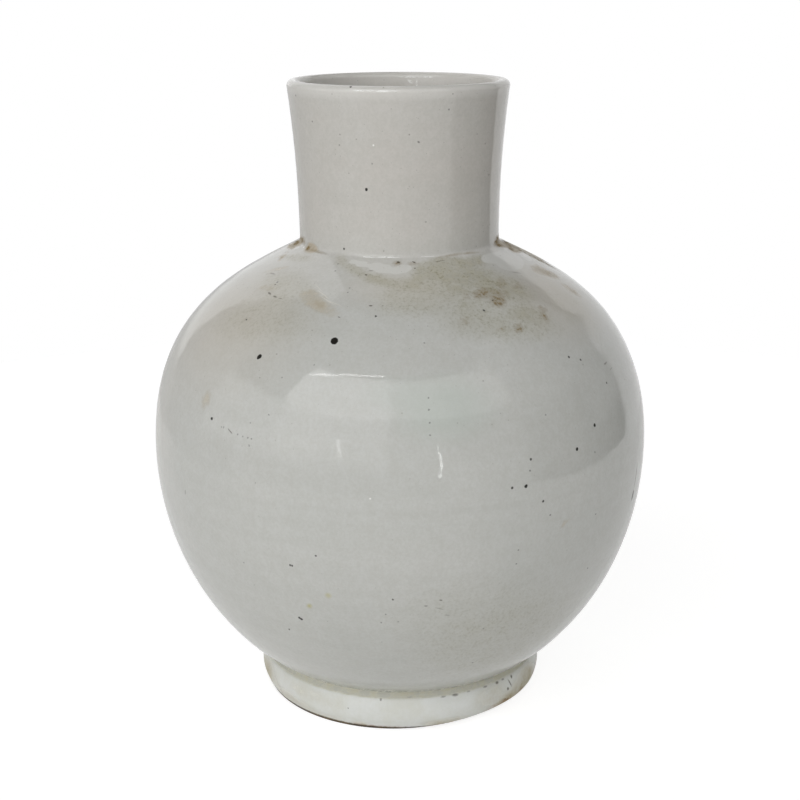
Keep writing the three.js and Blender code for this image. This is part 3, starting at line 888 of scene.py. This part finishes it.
def foot_glaze():
    """The thinner and whiter glaze on the foot ring, with silt on its ledge painted pale to lift the ledge's
    shade, and a burnt bottom edge.
    """
    s = Surface("thin_glaze")
    height = s.split(s.place)[2]
    radius = s.vector("LENGTH", s.vector("MULTIPLY", s.place, (1, 1, 0)))
    mottle = s.noise(s.place, 16, 5, 0.62)
    grain = s.noise(s.place, 1.5, 3, 0.7)
    fine = s.shaken(1.4, 0.7, 2)
    colour = s.mix(s.ramp(mottle, 0.35, 0.65), WHITE_GLAZE, DULL_GLAZE)
    colour = s.mix(s.ramp(grain, 0.3, 0.7, 0.0, 0.08), colour, FOOT_GRAIN)
    tan = s.math("MULTIPLY", s.veil("foot_tan", 7, 0.3), s.ramp(grain, 0.4, 0.6, 0.9, 1.1))
    colour = s.mix(s.math("MULTIPLY", tan, 0.72, clamp=True), colour, FOOT_TAN_DIRT)
    rust = s.math("MULTIPLY", s.veil("foot_rust", 3, 0.5), s.ramp(grain, 0.4, 0.6, 0.7, 1.3))
    colour = s.mix(s.math("MULTIPLY", rust, 0.7, clamp=True), colour, RUST)
    # Silt on the ledge, painted pale: painted light that lifts the ledge's shade
    ledge = s.math("MULTIPLY", s.ramp(height, *LEDGE_HEIGHTS), s.ramp(radius, *LEDGE_RADII, 1.0, 0.2))
    ledge_silt_and_light = s.mix(s.ramp(s.noise(s.place, 5, 4, 0.7), 0.4, 0.62), PALE_SILT_AND_LIGHT, DARK_SILT_AND_LIGHT)
    colour = s.mix(s.math("MULTIPLY", ledge, 0.75), colour, ledge_silt_and_light)
    strokes = s.math("MULTIPLY", s.ovals(fine, FOOT_STROKES, 0.3), 0.85)
    colour = s.mix(strokes, colour, FOOT_STROKE)
    burnt = s.ramp(s.split(fine)[2], *BURNT_HEIGHTS, 1.0, 0.0)
    colour = s.mix(burnt, colour, s.mix(s.ramp(mottle, 0.4, 0.65), BURNT_DARK, BURNT_LIGHT))
    under = s.ramp(radius, *UNDERSIDE_RADII, 1.0, 0.0)
    colour = s.mix(s.math("MULTIPLY", under, 0.7), colour, BARE_BODY)
    s.give(s.shader.inputs["Base Color"], colour)
    dirt_and_painted_light = s.most((tan, rust, ledge, burnt, under))
    s.give(s.shader.inputs["Roughness"], s.math("ADD", 0.18, s.math("MULTIPLY", dirt_and_painted_light, 0.45), clamp=True))
    s.give(s.shader.inputs["Normal"], s.bump(s.noise(s.place, 2.2, 3, 0.5), 0.03 * MM))
    return s.material


def slip():
    """The paste of clay and water that luted the sections together."""
    s = Surface("slip_paste")
    grain = s.noise(s.place, 1.2, 4, 0.6)
    colour = s.mix(s.ramp(grain, 0.3, 0.7), srgb(205, 200, 188), srgb(216, 212, 202))
    s.give(s.shader.inputs["Base Color"], colour)
    s.shader.inputs["Roughness"].default_value = 0.5
    s.give(s.shader.inputs["Normal"], s.bump(grain, 0.2 * MM))
    return s.material


# Each kind of stain, with the film also holding some painted shade and one kind being a painted reflection:
# the material that shows it, the name that the mesh keeps it under, its ovals, and how much of each oval has
# its full strength
STAINS = (
    ("outer_glaze", "film_and_shade", FILM_AND_SHADE, 0.3),
    ("outer_glaze", "clean", CLEAN, 0.5),
    ("outer_glaze", "tan", TAN, 0.4),
    ("outer_glaze", "brown", BROWN, 0.25),
    ("outer_glaze", "painted_green_reflection", PAINTED_GREEN_REFLECTION, 0.2),
    ("outer_glaze", "warm", WARM, 0.1),
    ("thin_glaze", "foot_tan", FOOT_TAN, 0.1),
    ("thin_glaze", "foot_rust", FOOT_RUST, 0.1),
)


def keep_stains(mesh):
    """Keeps on the mesh how strongly the stains of each kind lie on each of its points."""
    places = np.empty(len(mesh.vertices) * 3)
    mesh.vertices.foreach_get("co", places)
    places = places.reshape(-1, 3) / MM
    for material, name, rows, core in STAINS:
        if material not in mesh.materials:
            continue
        total, free = np.zeros(len(places)), np.ones(len(places))
        for row in rows:
            centre, turn, half, strength = mark(*row)
            local = (places - np.array(centre)) @ np.array(turn) / half
            there = strength * (1 - soft_step(core, 1, np.linalg.norm(local, axis=1)))
            total, free = np.maximum(total, there), free * (1 - np.minimum(there, 1))
        mesh.attributes.new(name, "FLOAT", "POINT").data.foreach_set("value", np.maximum(total, 1 - free))


OUTSIDE = glaze("outer_glaze", True)
INSIDE = glaze("inner_glaze", False)
FOOT = foot_glaze()
SLIP = slip()


# The pieces

def hidden_face(*corners):
    """A face that no one sees, between two sections or under the glaze."""
    return sheet(even(np.array(corners), HIDDEN_STEP))


def build_skin():
    """Cuts the one glazed skin at the seams, and closes each section's piece with its hidden faces."""
    lines = [bowl_line(), shoulder_line(), neck_line(), shoulder_inside_line(), bowl_inside_line()]
    whole = sheet(np.vstack([lines[0], *[line[1:] for line in lines[1:]]]))
    parts, start = [], 0
    for line in lines:
        cut = slice(start, start + len(line))
        parts.append(Sheet(whole.points[cut], whole.normals[cut]))
        start += len(line) - 1
    bowl, shoulder, neck, shoulder_inside, bowl_inside = parts

    dish = BOSS_BOTTOM + RECESS_DISH
    boss_foot = point(BOSS_RADIUS, BOSS_BOTTOM)
    boss_top = point(BOSS_RADIUS, FOOT_HEIGHT)
    under = curve(point(0, dish), point(BOSS_RADIUS / 2, dish), boss_foot)
    underside = sheet(even(under, INNER_STEP), axis_faces=-1)
    boss = hidden_face(boss_foot, boss_top)
    ring_seat = hidden_face(boss_top, bowl_edge)
    seat_inside = point(neck_bore, SEAT_HEIGHT)

    sheets = [underside, boss, ring_seat, bowl, hidden_face(belly, belly_inside), bowl_inside]
    piece("glazed_bowl", sheets, [INSIDE, SLIP, SLIP, OUTSIDE, SLIP, INSIDE], "lower_body")
    sheets = [shoulder, hidden_face(seat, seat_inside), shoulder_inside, hidden_face(belly_inside, belly)]
    piece("glazed_shoulder", sheets, [OUTSIDE, SLIP, INSIDE, SLIP], "upper_body")
    piece("glazed_neck", [neck, hidden_face(seat_inside, seat)], [OUTSIDE, SLIP], "neck")


def build_foot():
    """The foot ring, whose section changes round it."""
    rows = [foot_line(angle) for angle in ANGLES]
    count = min(len(row) for row in rows)
    rows = [resampled(row, count) for row in rows]
    ring = sheet(np.stack(rows, axis=1), round_closed=True)
    piece("foot", [ring], [FOOT], "foot_ring")


def build_band(name, node, seam, height, thickness, wall):
    """A band of slip smeared over a seam on the inside."""
    levels = np.linspace(seam - height / 2, seam + height / 2, BAND_POINTS)
    back = np.stack([np.interp(levels, wall[::-1, 1], wall[::-1, 0]), levels], axis=1)
    across = np.linspace(-1, 1, BAND_POINTS)
    raised = thickness * (BAND_EDGE + (1 - BAND_EDGE) * (1 - across ** 2))
    front = back - np.stack([raised, np.zeros(BAND_POINTS)], axis=1)
    outline = np.vstack([back, front[::-1], back[:1]])
    piece(name, [sheet(outline, round_closed=True)], [SLIP], node)


build_skin()
build_foot()
inner = np.vstack([[neck_bore, RIM_HEIGHT], shoulder_inside_line(), bowl_inside_line()[1:]])
build_band("belly_slip", "belly_seam_band", BELLY_HEIGHT, BELLY_BAND_HEIGHT, BELLY_BAND_THICKNESS, inner)
build_band("neck_slip", "neck_seam_band", SEAT_HEIGHT, NECK_BAND_HEIGHT, NECK_BAND_THICKNESS, inner)


# The studio

FLOOR_RADIUS = 0.8
FLOOR_GLOW = 1.5          # with the light that falls on it, this makes the floor white
FLOOR_SHARE = 0.55        # how much of what is seen of it is that glow
FLOOR_MIRRORED = 0.67     # how much of that glow the glaze mirrors


def build_floor():
    """A round pale floor, white to the camera and in the glaze, that keeps the pot's shadow."""
    s = Surface("studio_floor")
    s.shader.inputs["Base Color"].default_value = srgb(236, 236, 234)
    s.shader.inputs["Roughness"].default_value = 0.8
    path = s.node("ShaderNodeLightPath").outputs
    mirrored = s.math("MULTIPLY", path["Is Glossy Ray"], FLOOR_MIRRORED)
    strength = s.math("MULTIPLY", s.math("ADD", path["Is Camera Ray"], mirrored), FLOOR_GLOW)
    glow = s.node("ShaderNodeEmission", {"Strength": strength})
    seen = s.math("ADD", path["Is Camera Ray"], path["Is Glossy Ray"], clamp=True)
    share = s.math("MULTIPLY", seen, FLOOR_SHARE)
    both = s.node("ShaderNodeMixShader", {0: share, 1: s.shader.outputs[0], 2: glow.outputs[0]})
    output = s.tree.nodes["Material Output"]
    s.tree.links.new(both.outputs[0], output.inputs["Surface"])
    turns = np.linspace(0, 2 * math.pi, 96, endpoint=False)
    mesh = bpy.data.meshes.new("studio_floor")
    edge = [(FLOOR_RADIUS * math.cos(a), FLOOR_RADIUS * math.sin(a), 0) for a in turns]
    mesh.from_pydata(edge, [], [tuple(range(len(edge)))])
    mesh.materials.append(s.material)
    floor = bpy.data.objects.new("studio_floor", mesh)
    bpy.context.scene.collection.objects.link(floor)


# The room that the glaze mirrors: each wall's azimuths and elevations in degrees, seen from the pot, and its
# light. Azimuth 0 is towards the camera and 90 to the right.
WALLS = (
    (-200, -143, 0, 30, 1.00),
    (-200, -141, 30, 62, 0.90),
    (140, 200, 0, 30, 0.85),
    (140, 200, 30, 62, 0.10),
    (-143, -100, 0, 48, 0.45),
    (-100, -60, 0, 27, 0.90),
    (-100, -60, 27, 48, 0.02),
    (-145, -60, 48, 62, 0.02),
    (60, 100, 0, 20, 0.02),
    (100, 128, 0, 20, 0.30),
    (128, 140, 0, 20, 0.85),
    (60, 138, 20, 45, 0.35),
    (-60, -5, 0, 27, 1.30),
    (-60, -5, 27, 53, 2.25),
    (-5, 25, 0, 27, 0.60),
    (-5, 25, 27, 53, 1.50),
    (25, 60, 0, 27, 0.30),
    (25, 60, 27, 53, 1.20),
    (-60, 0, 53, 75, 0.10),
    (0, 60, 53, 75, 0.05),
    (-200, 200, 75, 100, 0.02),
    (-200, -135, -100, 0, 0.60),
    (-135, -60, -100, 0, 0.50),
    (60, 126, -100, 0, 0.02),
    (126, 200, -100, 0, 0.85),
    (-60, 60, -100, 0, 0.65),
    (60, 140, 45, 62, 0.40),
)
WALL_EDGE = 2.0               # degrees over which one wall's light gives way to the next


def build_world():
    """White to the camera, and to everything else a room with lighter and darker walls."""
    world = bpy.data.worlds.new("studio")
    bpy.context.scene.world = world
    world.use_nodes = True
    tree = world.node_tree
    background = tree.nodes["Background"]
    background.inputs["Color"].default_value = (1, 1, 1, 1)

    def node(kind, values, **settings):
        made = tree.nodes.new(kind)
        for name, value in settings.items():
            setattr(made, name, value)
        for value, socket in zip(values, made.inputs):
            if isinstance(value, bpy.types.NodeSocket):
                tree.links.new(value, socket)
            else:
                socket.default_value = value
        return made.outputs

    def calculate(operation, *values):
        return node("ShaderNodeMath", values, operation=operation)[0]

    def between(value, low, high):
        ends = []
        for end, before, after in ((low, 0.0, 1.0), (high, 1.0, 0.0)):
            values = (value, end - WALL_EDGE, end + WALL_EDGE, before, after)
            ends.append(node("ShaderNodeMapRange", values, interpolation_type="SMOOTHSTEP")[0])
        return calculate("MULTIPLY", *ends)

    direction = node("ShaderNodeTexCoord", ())["Generated"]
    x, y, z = node("ShaderNodeSeparateXYZ", (direction,))
    azimuth = calculate("DEGREES", calculate("ARCTAN2", x, calculate("MULTIPLY", y, -1.0)))
    elevation = calculate("DEGREES", calculate("ARCSINE", z))
    total = 0.0
    for left, right, low, high, strength in WALLS:
        inside = calculate("MULTIPLY", between(azimuth, left, right), between(elevation, low, high))
        total = calculate("ADD", total, calculate("MULTIPLY", inside, strength))
    seen = node("ShaderNodeLightPath", ())["Is Camera Ray"]
    rest = calculate("MULTIPLY", total, calculate("SUBTRACT", 1.0, seen))
    tree.links.new(calculate("ADD", rest, seen), background.inputs["Strength"])


LIT_PLACE = Vector((0, 0, 0.17))      # the middle of the pot, which the lamps face


def strip(name, start, end, width, power):
    """A narrow lamp from one point to another, facing the pot's middle."""
    start, end = Vector(start), Vector(end)
    data = bpy.data.lights.new(name, "AREA")
    data.shape = "RECTANGLE"
    data.size, data.size_y = (end - start).length, width
    data.energy = power
    made = bpy.data.objects.new(name, data)
    bpy.context.scene.collection.objects.link(made)
    along = (end - start).normalized()
    middle = (start + end) / 2
    back = (middle - LIT_PLACE).normalized()
    across = back.cross(along).normalized()
    turn = Matrix((along, across, along.cross(across))).transposed()
    made.matrix_world = Matrix.Translation(middle) @ turn.to_4x4()
    made.visible_camera = False


def build_lights():
    """Small lamps for the sharp bright streaks in the glaze."""
    strip("front_strip", (-0.94, -0.66, 1.31), (-0.15, -0.93, 1.49), 0.03, 0.6)
    strip("door_gap", (0.47, -1.53, 0.02), (0.47, -1.53, 0.45), 0.02, 0.24)
    strip("window", (-0.70, -1.42, 0.27), (-0.70, -1.42, 0.50), 0.03, 0.08)


def build_camera():
    """A camera where the photograph was taken from, fitted to the pot's outline there."""
    data = bpy.data.cameras.new("camera")
    camera = bpy.data.objects.new("camera", data)
    bpy.context.scene.collection.objects.link(camera)
    distance, height, pitch = 0.76812, 0.38071, math.radians(15.72)
    focal, centre_x, centre_y, roll = 1469.15, 399.74, 389.22, math.radians(-0.16)
    picture = 800
    camera.location = (0, -distance, height)
    turn = Matrix.Rotation(math.pi / 2 - pitch, 3, "X") @ Matrix.Rotation(roll, 3, "Z")
    camera.rotation_euler = turn.to_euler()
    data.sensor_width = 36
    data.lens = data.sensor_width * focal / picture
    data.shift_x = (picture / 2 - centre_x) / picture
    data.shift_y = (centre_y - picture / 2) / picture
    bpy.context.scene.camera = camera


build_floor()
build_world()
build_lights()
build_camera()
bpy.context.scene.view_settings.view_transform = "Standard"
